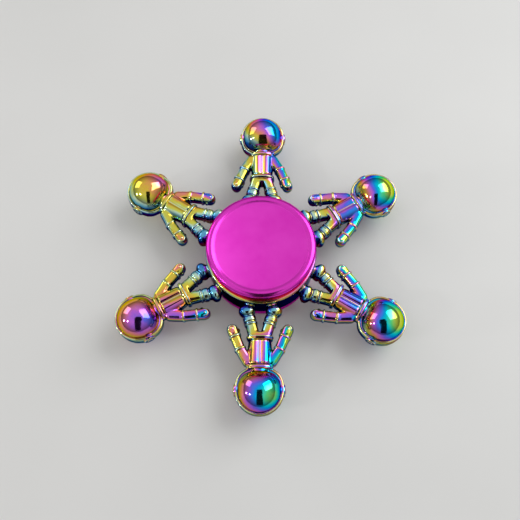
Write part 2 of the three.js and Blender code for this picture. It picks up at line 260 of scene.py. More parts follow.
def make_piece(name: str, surface: Surface, material: Material, **layers: Array) -> bpy.types.Object:
    """Makes a smooth mesh object at the origin from a surface in millimetres.

    Args:
        name: The piece's name.
        surface: Its surface, already in place.
        material: Its finish.
        layers: One number for each vertex, stored as an attribute under the argument's name.

    Returns:
        The new object, in the scene.
    """
    mesh = bpy.data.meshes.new(name)
    mesh.from_pydata(surface.vertices * MM, [], surface.faces)
    mesh.polygons.foreach_set("use_smooth", np.ones(len(mesh.polygons), bool))
    for layer, values in layers.items():
        attribute = mesh.attributes.new(layer, "FLOAT", "POINT")
        attribute.data.foreach_set("value", np.asarray(values, np.float32))
    mesh.materials.append(material)
    mesh.validate()
    mesh.normals_split_custom_set_from_vertices(surface.normals.astype(float).tolist())
    return in_scene(name, mesh)


def deliver(piece: bpy.types.Object, body: str, slot: Slot, *nodes: str) -> None:
    """Hands a finished piece to the frame: puts it on its body and hides the CAD nodes it stands for.

    Args:
        piece: The finished piece.
        body: The body that carries it.
        slot: Its material slot; not used.
        nodes: The CAD nodes that it takes the place of.
    """
    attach(piece, body)
    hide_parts(*nodes)
    triangles = sum(len(face.vertices) - 2 for face in piece.data.polygons)
    LOG.info("%s rides on %s, %d triangles", piece.name, body, triangles)


# ---------------------------------------- finishes


class NodeTree:
    """A node tree with short calls to add and join its nodes."""

    def __init__(self, tree: bpy.types.NodeTree) -> None:
        """Keeps the tree that the nodes go into."""
        self.tree = tree

    def join(self, source: Socket, target: Socket) -> None:
        """Links an output to an input."""
        self.tree.links.new(source, target)

    def feed(self, target: Socket, value: object) -> None:
        """Links an output to an input, or sets the input to a constant.

        Args:
            target: The input.
            value: A socket to link, or a constant.
        """
        if isinstance(value, Socket):
            self.join(value, target)
        else:
            target.default_value = value

    def node(self, kind: str, inputs: dict | None = None, **settings: object) -> bpy.types.Node:
        """Adds a node.

        Args:
            kind: The node's type.
            inputs: What to feed to its inputs, by their names or numbers.
            settings: Its properties.

        Returns:
            The new node.
        """
        node = self.tree.nodes.new(kind)
        for key, value in settings.items():
            setattr(node, key, value)
        for key, value in (inputs or {}).items():
            self.feed(node.inputs[key], value)
        return node


class Shader(NodeTree):
    """A material's node tree round one Principled shader."""

    def __init__(self, name: str) -> None:
        """Makes the material with its shader and its output joined.

        Args:
            name: The material's name.
        """
        self.material = bpy.data.materials.new(name)
        self.material.use_nodes = True
        super().__init__(self.material.node_tree)
        self.tree.nodes.clear()
        self.surface = self.node("ShaderNodeBsdfPrincipled")
        self.node("ShaderNodeOutputMaterial", {"Surface": self.surface.outputs["BSDF"]})
        self.place = self.node("ShaderNodeTexCoord").outputs["Object"]

    def maths(self, operation: str, *values: object) -> Socket:
        """A Math node on sockets or numbers.

        Args:
            operation: What it does.
            values: Its inputs in order.

        Returns:
            Its result.
        """
        node = self.node("ShaderNodeMath", dict(enumerate(values)), operation=operation)
        return node.outputs["Value"]

    def noise(self, size: float, detail: float = 3.0, stretch: Colour = (1, 1, 1)) -> Socket:
        """Noise with features of about `size` millimetres, read from Object coordinates, from 0 to 1.

        Args:
            size: The features' size, in millimetres.
            detail: How many finer octaves it has.
            stretch: How much finer it is along each axis.

        Returns:
            The noise.
        """
        place = self.node("ShaderNodeMapping", {"Vector": self.place, "Scale": stretch}).outputs["Vector"]
        inputs = {"Vector": place, "Scale": 1 / (size * MM), "Detail": detail}
        return self.node("ShaderNodeTexNoise", inputs).outputs["Fac"]

    def spread(self, value: object, low: float, high: float, to_low: float, to_high: float) -> Socket:
        """Maps a number from one range to another, and holds it there.

        Args:
            value: The number, as a socket.
            low, high: The range it comes from.
            to_low, to_high: The range it goes to.

        Returns:
            The mapped number.
        """
        inputs = dict(enumerate((value, low, high, to_low, to_high)))
        return self.node("ShaderNodeMapRange", inputs).outputs["Result"]

    def patches(
        self,
        size: float,
        detail: float,
        low: float,
        high: float,
        span: tuple[float, float] = (0.3, 0.7),
        stretch: Colour = (1, 1, 1),
    ) -> Socket:
        """Noise mapped to a range of values, which makes soft patches of each.

        Args:
            size, detail, stretch: As for noise.
            low, high: The range that it goes to.
            span: The part of the noise's own range that it comes from.

        Returns:
            The value.
        """
        return self.spread(self.noise(size, detail, stretch), *span, low, high)

    def attribute(self, name: str) -> Socket:
        """A number stored on the mesh's vertices."""
        return self.node("ShaderNodeAttribute", attribute_name=name).outputs["Fac"]

    def blend(self, share: object, first: object, second: object) -> Socket:
        """Mixes two colours.

        Args:
            share: How much of the second there is, from 0 to 1.
            first, second: Colours or sockets.

        Returns:
            The mixed colour.
        """
        node = self.node("ShaderNodeMix", data_type="RGBA")
        self.feed(node.inputs[0], share)
        for target, colour in zip(node.inputs[6:8], (first, second)):
            self.feed(target, (*colour, 1) if isinstance(colour, tuple) else colour)
        return node.outputs[2]

    def colours(self, value: object, stops: list[tuple[float, Colour]]) -> Socket:
        """A colour ramp through the given stops.

        Args:
            value: The place on the ramp, from 0 to 1.
            stops: Places and their colours, in order.

        Returns:
            The colour there.
        """
        ramp = self.node("ShaderNodeValToRGB")
        elements = ramp.color_ramp.elements
        for _ in stops[2:]:
            elements.new(0.5)
        for element, (position, colour) in zip(elements, stops):
            element.position = position
            element.color = (*colour, 1)
        self.feed(ramp.inputs["Fac"], value)
        return ramp.outputs["Color"]

    def radius(self) -> Socket:
        """Distance from the spin axis, in metres.

        Returns:
            The distance.
        """
        flat = self.node("ShaderNodeVectorMath", {0: self.place, 1: (1, 1, 0)}, operation="MULTIPLY")
        length = self.node("ShaderNodeVectorMath", {0: flat.outputs["Vector"]}, operation="LENGTH")
        return length.outputs["Value"]

    def bump(self, height: object, depth: float, under: object = None) -> Socket:
        """A bump of `depth` millimetres, on top of another if one is given.

        Args:
            height: The bump's height, from 0 to 1.
            depth: How deep a height of 1 is.
            under: The normal that it is laid on.

        Returns:
            The bumped normal.
        """
        inputs = {"Strength": 1.0, "Distance": depth * MM, "Height": height}
        if under is not None:
            inputs["Normal"] = under
        return self.node("ShaderNodeBump", inputs).outputs["Normal"]

    def set(self, **values: object) -> None:
        """Sets or links inputs of the Principled shader; an underscore in a name stands for a space.

        Args:
            values: The inputs' names and values.
        """
        for key, value in values.items():
            target = self.surface.inputs[key.replace("_", " ")]
            self.feed(target, (*value, 1) if isinstance(value, tuple) and len(value) == 3 else value)


@dataclass(frozen=True)
class PlatedFinish:
    """Polished zinc under an interference film, whose colour goes through its orders as the film thickens."""

    name: str = "oil_slick_plating"
    thickest: float = 12.5
    drift: float = 0.35
    worn: Colour = (0.78, 0.86, 0.82)
    # near-black tint of the painted shade on the side walls
    painted_shade_tint: Colour = (0.004, 0.008, 0.03)
    orders: tuple = (
        (0.6, (0.55, 0.42, 0.16)),
        (1.6, (0.42, 0.09, 0.24)),
        (2.6, (0.03, 0.03, 0.30)),
        (3.5, (0.02, 0.14, 0.52)),
        (4.3, (0.20, 0.60, 0.80)),
        (5.0, (0.60, 0.84, 0.66)),
        (5.7, (0.72, 0.76, 0.12)),
        (6.5, (0.86, 0.58, 0.07)),
        (7.0, (0.90, 0.34, 0.16)),
        (7.5, (0.88, 0.25, 0.42)),
        (8.2, (0.58, 0.16, 0.82)),
        (8.9, (0.16, 0.16, 0.95)),
        (9.6, (0.01, 0.34, 0.98)),
        (10.4, (0.00, 0.72, 0.80)),
        (11.2, (0.12, 0.80, 0.25)),
        (12.0, (0.70, 0.85, 0.10)),
    )

    def build(self) -> Material:
        """Makes the material. It reads the film attribute that the sculpted pieces carry, and their shade
        attribute, the painted shade that darkens the side walls.

        Returns:
            The material.
        """
        shader = Shader(self.name)
        film, edge, shade = (shader.attribute(name) for name in ("film", "edge", "shade"))
        clouds = shader.patches(size=3.5, detail=2, low=-self.drift, high=self.drift)
        specks = shader.patches(size=0.4, detail=2, low=-self.drift / 4, high=self.drift / 4)
        thickness = shader.maths("ADD", shader.maths("ADD", film, clouds), specks)
        stops = [(order / self.thickest, colour) for order, colour in self.orders]
        tint = shader.colours(shader.maths("DIVIDE", thickness, self.thickest), stops)
        wear = shader.patches(size=0.7, detail=4, low=0.1, high=0.6, span=(0.4, 0.65))
        rubbed = shader.maths("MULTIPLY", edge, wear)
        # painted shade: the side walls are pulled towards a near-black tint
        tint = shader.blend(shade, tint, self.painted_shade_tint)
        ripple = shader.bump(shader.noise(size=1.6, detail=1), depth=0.012)
        grain = shader.bump(shader.noise(size=0.12, detail=3), depth=0.0006, under=ripple)
        shader.set(
            Base_Color=shader.blend(rubbed, tint, self.worn),
            Metallic=1.0,
            Specular_Tint=tint,
            Roughness=shader.patches(size=0.8, detail=4, low=0.07, high=0.15, span=(0.3, 0.75)),
            Normal=grain,
        )
        return shader.material


@dataclass(frozen=True)
class AnodisedFinish:
    """Dyed anodised aluminium: a satin turned dish inside a brighter rolled rim and side."""

    dish_edge: float
    name: str = "magenta_anodising"
    dye: Colour = (0.82, 0.042, 0.60)
    pale_dye: Colour = (0.88, 0.062, 0.66)
    tool_pitch: float = 0.16
    satin: float = 0.34
    polished: float = 0.19
    inner_fade: float = 0.15
    outer_fade: float = 0.25

    def build(self) -> Material:
        """Makes the material, with tool rings in the dish and rim, cloudy dye and a fine blasted grain.

        Returns:
            The material.
        """
        shader = Shader(self.name)
        radius = shader.radius()
        inner, outer = (self.dish_edge - self.inner_fade) * MM, (self.dish_edge + self.outer_fade) * MM
        in_dish = shader.spread(radius, inner, outer, 1, 0)
        clouds = shader.patches(size=5.0, detail=4, low=0, high=1)
        rings = shader.maths("SINE", shader.maths("MULTIPLY", radius, 2 * math.pi / (self.tool_pitch * MM)))
        rough = shader.spread(in_dish, 0, 1, self.polished, self.satin)
        mottle = shader.patches(size=0.9, detail=5, low=-0.015, high=0.02)
        scuffs = shader.patches(size=0.5, detail=6, low=0, high=0.08, span=(0.66, 0.74), stretch=(1, 7, 1))
        blasted = shader.bump(shader.noise(size=0.07, detail=2), depth=0.0012)
        marks = shader.maths("MULTIPLY", rings, in_dish)
        shader.set(
            Base_Color=shader.blend(clouds, self.dye, self.pale_dye),
            Specular_Tint=self.pale_dye,
            Metallic=1.0,
            Roughness=shader.maths("ADD", shader.maths("ADD", rough, mottle), scuffs),
            Normal=shader.bump(marks, depth=0.0004, under=blasted),
        )
        return shader.material


@dataclass(frozen=True)
class SteelFinish:
    """Bearing steel, worked in rings about the spin axis or left as pressed."""

    name: str
    colour: Colour
    roughness: float
    ring_pitch: float = 0.0
    grain: float = 0.15

    def build(self) -> Material:
        """Makes the material: grinding rings if it has a pitch, stains of thin oil, and a fine grain.

        Returns:
            The material.
        """
        shader = Shader(self.name)
        stain = shader.patches(size=1.8, detail=4, low=0, high=1, span=(0.35, 0.7))
        dark = tuple(channel * 0.82 for channel in self.colour)
        low, high = self.roughness * 0.8, self.roughness * 1.25
        normal = shader.bump(shader.noise(self.grain, detail=3), depth=0.001)
        if self.ring_pitch:
            phase = shader.maths("MULTIPLY", shader.radius(), 2 * math.pi / (self.ring_pitch * MM))
            normal = shader.bump(shader.maths("SINE", phase), depth=0.001, under=normal)
        shader.set(
            Base_Color=shader.blend(stain, self.colour, dark),
            Metallic=1.0,
            Roughness=shader.patches(size=0.6, detail=4, low=low, high=high),
            Normal=normal,
        )
        return shader.material


# ---------------------------------------- plating film


@dataclass(frozen=True)
class PlatingFilm:
    """Thickness of the plating film over the casting, in interference orders.

    The film grows with the place on the casting and from left to right over each figure's body. It is
    thicker on the gloves and on what faced outwards and to the right of the coating source. It is thin on the
    side walls, and thins down the legs to the boots.
    """

    middle: float = 9.1
    per_x: float = 0.052
    per_y: float = -0.0198
    per_xy: float = 0.00085
    full_radius: float = 32.0
    per_radius: float = 0.14
    per_offset: float = 0.3
    on_gloves: float = 2.0
    gloves_from: float = 5.3
    body_fade: float = 3.0
    ring_radius: float = 13.0
    at_boots: float = 2.9
    per_leg: float = 0.5
    legs_to: float = 21.0
    legs_fade: float = 2.5
    legs_width: float = 5.2
    legs_side_fade: float = 0.6
    leg_share: float = 0.8
    to_right: float = 2.6
    to_right_more: float = 1.0
    outwards: float = 1.5
    slant_loss: float = 0.36
    wall_loss: float = 0.32
    on_edges: float = 4.65
    edge_share: float = 0.85
    # painted shade on the side walls: its strength, the slant where it starts and the slant range over which
    # it grows
    wall_shade: float = 0.42
    shade_from: float = 0.2
    shade_range: float = 0.65

    def thickness(self, vertices: Array, normals: Array, edge: Array, aside: Array, angle: float) -> Array:
        """The film at each vertex.

        Args:
            vertices: Places in the row frame, in millimetres.
            normals: Unit normals there.
            edge: How far each vertex is on an outer edge, from 0 to 1, where the film is thin.
            aside: How far each vertex is to one side of its figure's middle line, in millimetres.
            angle: The way the figure points.

        Returns:
            One thickness for each vertex.
        """
        x, y = vertices[:, 0], vertices[:, 1]
        radius = np.hypot(x, y)
        place = self.middle + self.per_x * x + self.per_y * y + self.per_xy * x * y
        place = place + self.per_radius * np.minimum(radius - self.full_radius, 0)
        body = np.clip((self.full_radius - radius) / self.body_fade, 0, 1)
        gloves = np.clip(np.abs(aside) - self.gloves_from, 0, 1)
        place = place + body * (self.on_gloves * gloves - self.per_offset * aside * math.sin(angle))
        above = radius - self.ring_radius
        legs = np.clip(above, 0, 1) * np.clip((self.legs_to - radius) / self.legs_fade, 0, 1)
        legs = legs * np.clip((self.legs_width - np.abs(aside)) / self.legs_side_fade, 0, 1) * self.leg_share
        place = place + legs * (self.at_boots + self.per_leg * above - place)
        nx, ny, nz = normals.T
        facing = nx * (self.to_right + self.to_right_more * nx) + self.outwards * (x * nx + y * ny) / radius
        slant = 1 - np.abs(nz)
        film = (place + facing) * (1 - self.slant_loss * slant - self.wall_loss * slant**4)
        return film + self.edge_share * edge * np.minimum(self.on_edges - film, 0)

    def shade(self, normals: Array) -> Array:
        """Painted shade at each vertex, which darkens the colour: little on the faces, more on the side
        walls.
        """
        slant = np.clip((1 - np.abs(normals[:, 2]) - self.shade_from) / self.shade_range, 0, 1)
        return self.wall_shade * slant**2 * (3 - 2 * slant)


# ---------------------------------------- sculpting


def soft_union(first: Array, second: Array, fillet: float) -> Array:
    """Joins two distance fields with a fillet of about the given size."""
    share = np.clip(0.5 + 0.5 * (second - first) / fillet, 0, 1)
    return second + (first - second) * share - fillet * share * (1 - share)


def soft_cut(first: Array, second: Array, edge: float) -> Array:
    """Keeps what two distance fields share, with a rounded edge."""
    return -soft_union(-first, -second, edge)


def oval(across: Array, deep: Array, width: object, depth: object, power: float) -> Array:
    """Distance to a section between an ellipse (power 2) and a box (high power)."""
    size = ((np.abs(across) / width) ** power + (np.abs(deep) / depth) ** power) ** (1 / power)
    return (size - 1) * np.minimum(width, depth)


@dataclass(frozen=True)
class Limb:
    """A straight limb in the figure's middle plane, from start to end, as (out, sideways) in millimetres."""

    start: tuple[float, float]
    end: tuple[float, float]
    widths: tuple[float, float]
    depths: tuple[float, float]
    power: float
    ring_edge: float = 0.22

    def split(self, place: Array) -> tuple[Array, Array, float]:
        """Distance along the limb, distance from its line, and its length.

        Args:
            place: Points, one in each row.

        Returns:
            The two distances of each point, and the length.
        """
        start = np.array(self.start)
        way = np.array(self.end) - start
        length = float(np.linalg.norm(way))
        way /= length
        offset = place[:, :2] - start
        along = offset @ way
        aside = np.linalg.norm(offset - np.clip(along, 0, length)[:, None] * way, axis=1)
        return along, aside, length

    def distance(self, place: Array, grown: float = 0.0) -> Array:
        """Distance to the limb's surface, with the surface moved out by `grown`.

        Args:
            place: Points, one in each row.
            grown: How far out the surface is moved.

        Returns:
            One distance for each point.
        """
        along, aside, length = self.split(place)
        share = np.clip(along / length, 0, 1)
        width = self.widths[0] + (self.widths[1] - self.widths[0]) * share + grown
        depth = self.depths[0] + (self.depths[1] - self.depths[0]) * share + grown
        return oval(aside, place[:, 2], width, depth, self.power)

    def ring(self, place: Array, at: float, height: float, proud: float) -> Array:
        """Distance to a rounded ring round the limb, centred at a share of its length.

        Args:
            place: Points, one in each row.
            at: The share.
            height: The ring's length along the limb.
            proud: How far it stands out.

        Returns:
            One distance for each point.
        """
        along, _, length = self.split(place)
        section = self.distance(place, proud)
        return soft_cut(section, np.abs(along - at * length) - height / 2, self.ring_edge)


@dataclass(frozen=True)
class Band:
    """A rounded slab across the body, such as the collar or the belt."""

    width: float
    depth: float
    half_length: float
    power: float
    edge: float

    def distance(self, place: Array, centre: float, grown: object = 0.0) -> Array:
        """Distance to the slab's surface.

        Args:
            place: Points, one in each row.
            centre: How far out its middle is.
            grown: How much wider and deeper it is at each point.

        Returns:
            One distance for each point.
        """
        out, aside, height = place.T
        section = oval(aside, height, self.width + grown, self.depth + grown, self.power)
        return soft_cut(section, np.abs(out - centre) - self.half_length, self.edge)


@dataclass(frozen=True)
class AstronautSculpt:
    """The astronaut as a distance field. It stands along its first coordinate, and is alike left and right,
    front and back, so the field is only asked for positive second and third coordinates."""

    hub_radius: float
    crown: float
    helmet_radius: float = 5.5
    helmet_sink: float = 0.8
    chin_flat: float = 1.07
    chin_power: float = 2.6
    rim_height: float = 1.15
    rim_slope: float = 0.09
    bead_tube: float = 0.25
    bead_radius: float = 5.16
    visor_radius: float = 4.85
    visor_rise: float = 5.3
    visor_shift: float = 0.3
    ear_radius: float = 1.35
    ear_reach: float = 5.72
    boss_radius: float = 0.65
    boss_reach: float = 5.88
    chest_from: float = 0.55
    chest_to: float = 0.935
    chest_width: float = 2.58
    chest_widens: float = 0.45
    chest_depth: float = 1.9
    chest_deepens: float = 0.12
    pad_middle: float = 1.2
    pad_reach: float = 1.15
    pad_height: float = 0.45
    seam_width: float = 0.15
    seam_height: float = 0.2
    neck_drop: float = 4.2
    collar_at: float = 0.975
    belt_at: float = 0.52
    belt_flare: float = 0.22
    flare_reach: float = 0.9
    hips_at: float = 0.47
    shoulder: tuple[float, float] = (0.875, 2.75)
    elbow: tuple[float, float] = (0.7, 4.35)
    hand: tuple[float, float] = (0.39, 6.25)
    hip: tuple[float, float] = (0.45, 1.42)
    ankle: tuple[float, float] = (0.1, 2.85)
    toe: tuple[float, float] = (0.075, 3.1)
    collar: Band = Band(width=3.0, depth=2.2, half_length=0.45, power=2.6, edge=0.35)
    neck: Band = Band(width=2.0, depth=1.9, half_length=1.8, power=2.0, edge=0.3)
    belt: Band = Band(width=2.95, depth=2.4, half_length=0.42, power=2.8, edge=0.25)
    hips: Band = Band(width=2.6, depth=1.85, half_length=0.75, power=2.6, edge=0.5)
    toe_length: float = 1.35
    toe_width: float = 1.9
    toe_depth: float = 2.45
    finger_pitch: float = 0.8
    finger_depth: float = 0.07
    sole_sink: float = 0.06
    sole_flare: float = 0.3
    flare_height: float = 0.28

    @property
    def helmet_centre(self) -> float:
        """Distance of the helmet's centre from the spin axis."""
        return self.crown - self.helmet_radius

    def along(self, share: float) -> float:
        """Distance from the spin axis of a place along the body, from the soles at 0 to the neck at 1."""
        neck = self.helmet_centre - self.helmet_radius + self.helmet_sink
        return self.hub_radius + share * (neck - self.hub_radius)

    def spot(self, joint: tuple[float, float]) -> tuple[float, float]:
        """A joint's place as (out, sideways), from its share of the body's length and its way to the side."""
        return self.along(joint[0]), joint[1]

    def plan(self, out: Array, aside: Array) -> Array:
        """Distance from the helmet's middle seen from the front: round at the crown, squarer at the chin.

        Args:
            out: Distance of each point outwards from the helmet's centre.
            aside: Distance of each point to one side.

        Returns:
            One distance for each point.
        """
        power = self.chin_power
        chin = ((np.abs(out) * self.chin_flat) ** power + aside**power) ** (1 / power)
        return np.where(out < 0, chin, np.hypot(out, aside))

    def helmet(self, place: Array) -> Array:
        """Shell with a flat visor opening on each face, its bead, the visor dome and the ear disc.

        Args:
            place: Points, one in each row.

        Returns:
            One distance for each point.
        """
        out, height = place[:, 0] - self.helmet_centre, place[:, 2]
        rho = self.plan(out, place[:, 1])
        shell = np.hypot(rho, height) - self.helmet_radius
        above_rim = height - self.rim_height - self.rim_slope * out
        shell = soft_cut(shell, above_rim, edge=0.25)
        bead = np.hypot(rho - self.bead_radius, above_rim) - self.bead_tube
        field = soft_union(shell, bead, fillet=0.15)
        visor_rho = self.plan(out - self.visor_shift, place[:, 1])
        dome = np.hypot(visor_rho, height - self.visor_rise + self.visor_radius) - self.visor_radius
        field = soft_union(field, dome, fillet=0.08)
        from_ear = np.hypot(out, height)
        ear = soft_cut(from_ear - self.ear_radius, place[:, 1] - self.ear_reach, edge=0.3)
        boss = soft_cut(from_ear - self.boss_radius, place[:, 1] - self.boss_reach, edge=0.2)
        return soft_union(soft_union(field, ear, fillet=0.2), boss, fillet=0.12)

    def trunk(self, place: Array) -> Array:
        """Collar, padded torso, flared belt and hips.

        Args:
            place: Points, one in each row.

        Returns:
            One distance for each point.
        """
        out, aside, height = place.T
        waist, top = self.along(self.chest_from), self.along(self.chest_to)
        share = np.clip((out - waist) / (top - waist), 0, 1)
        width = self.chest_width + self.chest_widens * share
        pads = np.maximum(1 - ((aside - self.pad_middle) / self.pad_reach) ** 2, 0)
        seam = np.exp(-((aside / self.seam_width) ** 2))
        depth = self.chest_depth + self.chest_deepens * share
        depth = depth + self.pad_height * pads + self.seam_height * seam
        chest = oval(aside, height, width, depth, power=2.8)
        chest = soft_cut(chest, np.abs(out - (waist + top) / 2) - (top - waist) / 2, edge=0.5)
        flare = self.belt_flare * np.clip((waist - out) / self.flare_reach, 0, 1)
        field = soft_union(chest, self.hips.distance(place, self.along(self.hips_at)), fillet=0.2)
        field = soft_union(field, self.belt.distance(place, self.along(self.belt_at), flare), fillet=0.12)
        neck = self.neck.distance(place, self.helmet_centre - self.neck_drop)
        field = soft_union(field, neck, fillet=0.2)
        return soft_union(field, self.collar.distance(place, self.along(self.collar_at)), fillet=0.12)

    def leg(self, place: Array) -> Array:
        """Trouser leg, two cuffs, boot shaft and toe.

        Args:
            place: Points, one in each row.

        Returns:
            One distance for each point.
        """
        hip, ankle = self.spot(self.hip), self.spot(self.ankle)
        leg = Limb(hip, ankle, widths=(1.36, 1.3), depths=(1.8, 1.7), power=2.8)
        field = leg.distance(place)
        field = soft_union(field, leg.ring(place, at=0.46, height=0.45, proud=0.22), fillet=0.12)
        field = soft_union(field, leg.ring(place, at=0.69, height=1.15, proud=0.2), fillet=0.15)
        out, aside, height = (place - np.array([*self.spot(self.toe), 0])).T
        plan = np.hypot(out / self.toe_length, aside / self.toe_width)
        return soft_union(field, oval(plan, height, 1.0, self.toe_depth, power=3.0), fillet=0.18)

    def arm(self, place: Array) -> Array:
        """Sleeve with its shoulder, elbow and wrist rings, and the glove with its thumb.

        Args:
            place: Points, one in each row.

        Returns:
            One distance for each point.
        """
        shoulder, elbow, hand = (self.spot(joint) for joint in (self.shoulder, self.elbow, self.hand))
        upper = Limb(shoulder, elbow, widths=(1.3, 1.2), depths=(1.65, 1.55), power=2.8)
        fore = Limb(elbow, hand, widths=(1.2, 1.24), depths=(1.55, 1.55), power=2.8)
        field = soft_union(upper.distance(place), fore.distance(place), fillet=0.15)
        field = soft_union(field, fore.ring(place, at=0.03, height=0.5, proud=0.2), fillet=0.12)
        field = soft_union(field, fore.ring(place, at=0.68, height=0.5, proud=0.24), fillet=0.12)
        wrist, knuckles = (hand[0] + 0.4, hand[1] - 0.15), (hand[0] - 0.25, hand[1] + 0.1)
        glove = Limb(wrist, knuckles, widths=(1.26, 1.34), depths=(1.65, 1.7), power=2.5)
        along, across, _ = glove.split(place)
        waves = self.finger_depth * np.cos(2 * math.pi * across / self.finger_pitch)
        fingers = waves * np.clip(along - 0.1, 0, 1)
        root, tip = (hand[0] + 0.6, hand[1] - 1.1), (hand[0] - 0.1, hand[1] - 1.25)
        thumb = Limb(root, tip, widths=(0.52, 0.45), depths=(0.8, 0.7), power=2.0)
        field = soft_union(field, glove.distance(place) - fingers, fillet=0.15)
        return soft_union(field, thumb.distance(place), fillet=0.15)

    def distance(self, place: Array) -> Array:
        """The whole figure's field, with its soles flared and cut to the hub ring's round side.

        Args:
            place: Points, one in each row.

        Returns:
            One distance for each point.
        """
        limbs = soft_union(self.leg(place), self.arm(place), fillet=0.1)
        field = soft_union(self.trunk(place), limbs, fillet=0.3)
        field = soft_union(field, self.helmet(place), fillet=0.25)
        from_ring = np.hypot(place[:, 0], place[:, 1]) - self.hub_radius
        flared = field - self.sole_flare * np.exp(-np.maximum(from_ring, 0) / self.flare_height)
        return np.maximum(flared, -from_ring - self.sole_sink)


@dataclass(frozen=True)
class FieldMesher:
    """Turns a distance field that is alike on both sides of two planes into a closed quad mesh."""

    step: float
    low: float
    high: tuple[float, float, float]
    rounds: int = 4
    probe: float = 0.01
    normal_probe: float = 0.02
    edge_probe: float = 0.15
    blunt_bend: float = 1.1
    bend_range: float = 3.5

    def axes(self) -> list[Array]:
        """Grid lines along each axis; the second and third are even about 0.

        Returns:
            One array of places for each axis.
        """
        lines = [np.arange(self.low, self.high[0] + self.step, self.step)]
        for reach in self.high[1:]:
            half = (np.arange(math.ceil(reach / self.step)) + 0.5) * self.step
            lines.append(np.concatenate([-half[::-1], half]))
        return lines

    def sample(self, sculpt: AstronautSculpt, axes: list[Array]) -> Array:
        """The field on the grid, worked out on one quarter of it and mirrored.

        Args:
            sculpt: The field.
            axes: The grid lines.

        Returns:
            The field at each grid point.
        """
        out, aside, height = axes
        side, depth = aside[aside > 0], height[height > 0]
        quarter = np.stack(np.meshgrid(out, side, depth, indexing="ij"), axis=-1).reshape(-1, 3)
        values = sculpt.distance(quarter).reshape(len(out), len(side), len(depth))
        values = np.concatenate([values[:, ::-1], values], axis=1)
        return np.concatenate([values[:, :, ::-1], values], axis=2)

    def build(self, sculpt: AstronautSculpt) -> Surface:
        """Meshes the field: one vertex in each crossed cell, one quad round each crossed grid edge.

        Args:
            sculpt: The field.

        Returns:
            The closed surface.
        """
        axes = self.axes()
        values = self.sample(sculpt, axes)
        inside = self.without_pinches(values)
        cells = np.zeros(np.array(values.shape) - 1, int)
        halves = (slice(None, -1), slice(1, None))
        corners = [(halves[a], halves[b], halves[c]) for a, b, c in np.ndindex(2, 2, 2)]
        count = sum(inside[corner].astype(int) for corner in corners)
        crossed = (count > 0) & (count < 8)
        cells[crossed] = np.arange(crossed.sum())
        index = np.argwhere(crossed)
        vertices = np.stack([axis[index[:, k]] + self.step / 2 for k, axis in enumerate(axes)], axis=1)
        faces = []
        for axis in range(3):
            first, second = [k for k in range(3) if k != axis]
            if axis == 1:
                first, second = second, first
            start = np.moveaxis(inside, axis, 0)[:-1]
            end = np.moveaxis(inside, axis, 0)[1:]
            for into, (here, there) in enumerate(((start, end), (end, start))):
                edges = np.moveaxis(here & ~there, 0, axis)
                at = np.argwhere(edges)
                at = at[(at[:, first] > 0) & (at[:, second] > 0)]
                ring = []
                for a, b in ((1, 1), (0, 1), (0, 0), (1, 0)):
                    cell = at.copy()
                    cell[:, first] -= a
                    cell[:, second] -= b
                    ring.append(cells[tuple(cell.T)])
                ring = np.stack(ring, axis=1)
                faces.append(ring if into == 0 else ring[:, ::-1])
        vertices, normals = self.settled(sculpt, vertices)
        return Surface(vertices, np.concatenate(faces), normals)

    @staticmethod
    def without_pinches(values: Array) -> Array:
        """Tells which grid points are inside, with no square that has just two opposite corners inside.

        Such a square would join two sheets of the mesh along one edge, so its nearer outside corner is
        filled.

        Args:
            values: The field on the grid.

        Returns:
            True at each grid point that counts as inside.
        """
        inside = values < 0
        filled = True
        while filled:
            filled = False
            for axes in ((0, 1), (0, 2), (1, 2)):
                flags, depths = (np.moveaxis(grid, axes, (0, 1)) for grid in (inside, values))
                near, far = flags[:-1, :-1], flags[1:, 1:]
                left, right = flags[1:, :-1], flags[:-1, 1:]
                for at in np.argwhere((near == far) & (left == right) & (near != left)):
                    square = [tuple(at + (i, j, 0)) for i, j in np.ndindex(2, 2)]
                    outside = [corner for corner in square if not flags[corner]]
                    if len(outside) == 2:
                        flags[min(outside, key=lambda corner: depths[corner])] = True
                        filled = True
        return inside

    @staticmethod
    def slope(sculpt: AstronautSculpt, place: Array, reach: float) -> tuple[Array, Array]:
        """The field's gradient and its bend, both by differences.

        Args:
            sculpt: The field.
            place: Points, one in each row.
            reach: How far off the neighbours are.

        Returns:
            The gradient at each point, and the six neighbours' sum less six times the point's own value.
        """
        signs = np.where(place < 0, -1.0, 1.0)
        here = sculpt.distance(np.abs(place))
        gradient = np.zeros_like(place)
        total = np.zeros(len(place))
        for axis in range(3):
            shift = np.zeros(3)
            shift[axis] = reach
            ahead = sculpt.distance(np.abs(np.abs(place) + shift))
            behind = sculpt.distance(np.abs(np.abs(place) - shift))
            gradient[:, axis] = (ahead - behind) / (2 * reach)
            total += ahead + behind - 2 * here
        return gradient * signs, total

    def settled(self, sculpt: AstronautSculpt, vertices: Array) -> tuple[Array, Array]:
        """Moves the vertices onto the field's surface, and gives the exact normals there.

        Args:
            sculpt: The field.
            vertices: Places within a cell of its surface.

        Returns:
            The moved vertices and their normals.
        """
        for _ in range(self.rounds):
            gradient, _ = self.slope(sculpt, vertices, self.probe)
            steepness = np.maximum((gradient**2).sum(axis=1), 0.05)
            shift = (sculpt.distance(np.abs(vertices)) / steepness)[:, None] * gradient
            vertices = vertices - np.clip(shift, -self.step, self.step)
        gradient, _ = self.slope(sculpt, vertices, self.normal_probe)
        return vertices, gradient / np.maximum(np.linalg.norm(gradient, axis=1, keepdims=True), 1e-9)

    def sharpness(self, sculpt: AstronautSculpt, vertices: Array) -> Array:
        """How far each vertex is on an outer edge, from 0 to 1.

        Args:
            sculpt: The field.
            vertices: Places on its surface.

        Returns:
            One number for each vertex.
        """
        _, bend = self.slope(sculpt, vertices, self.edge_probe)
        return np.clip((bend / self.edge_probe**2 - self.blunt_bend) / self.bend_range, 0, 1)


# ---------------------------------------- sub-assemblies


